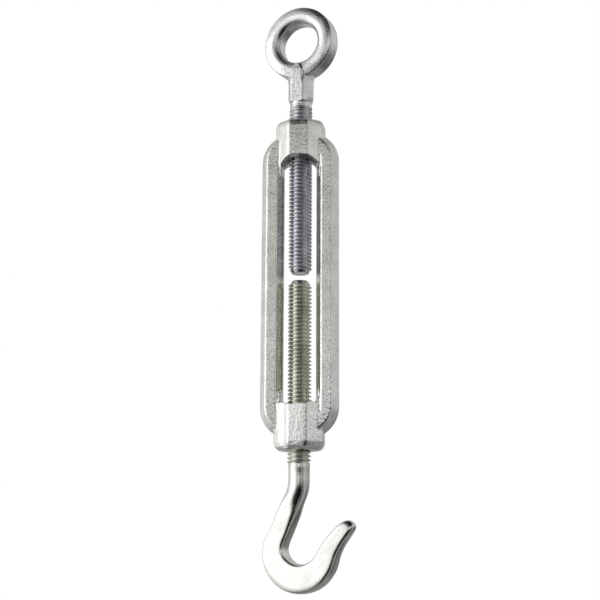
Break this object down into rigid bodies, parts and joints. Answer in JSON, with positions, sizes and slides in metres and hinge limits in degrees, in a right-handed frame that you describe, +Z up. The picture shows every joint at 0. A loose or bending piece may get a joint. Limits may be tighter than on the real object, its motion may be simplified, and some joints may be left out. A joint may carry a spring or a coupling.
{
  "type": "rigging turnbuckle",
  "caption": "Hook-and-eye turnbuckle: an open cast frame takes a left-hand threaded eye bolt and a right-hand threaded hook bolt, to tension a wire, stay or lashing.",
  "frame": {"origin": "centre of the eye bolt's hole", "axes": "+Z up the common screw axis from the hook to the eye; the frame's two bars lie either side of it along X; +Y from the front to the back. The eye's hole and the hook's plane are turned 15.5 degrees clockwise from Y and X, seen from above"},
  "size_m": [0.0248, 0.0104, 0.1524],
  "materials": {
    "cast_zinc": "bright zinc plating over a slightly pitted malleable-iron casting",
    "eye_zinc": "bright bluish zinc plating over forged and thread-rolled steel",
    "hook_zinc": "satin zinc plating, faintly yellow, over forged and thread-rolled steel"
  },
  "bodies": {
    "frame": {"frame": "cast_zinc"},
    "eye_bolt_point": {"eye_bolt_point": "eye_zinc"},
    "eye_bolt": {"eye_bolt": "eye_zinc"},
    "hook_bolt_point": {"hook_bolt_point": "hook_zinc"},
    "hook_bolt": {"hook_bolt": "hook_zinc"}
  },
  "joints": [
    {"name": "eye_bolt_travel", "type": "slide", "parent": "frame", "child": "eye_bolt_point", "axis": [0, 0, 1], "range_m": [-0.0009, 0.028]},
    {"name": "eye_bolt_turn", "type": "hinge", "parent": "eye_bolt_point", "child": "eye_bolt", "pos_m": [0, 0, -0.06], "axis": [0, 0, 1], "range_deg": [-10080, 324]},
    {"name": "hook_bolt_travel", "type": "slide", "parent": "frame", "child": "hook_bolt_point", "axis": [0, 0, 1], "range_m": [-0.028, 0.0009]},
    {"name": "hook_bolt_turn", "type": "hinge", "parent": "hook_bolt_point", "child": "hook_bolt", "pos_m": [0, 0, -0.068], "axis": [0, 0, 1], "range_deg": [-10080, 324]}
  ],
  "couplings": [
    {"joint": "eye_bolt_travel", "follows": "eye_bolt_turn", "m_per_rad": -0.00015915},
    {"joint": "hook_bolt_travel", "follows": "hook_bolt_turn", "m_per_rad": 0.00015915}
  ]
}
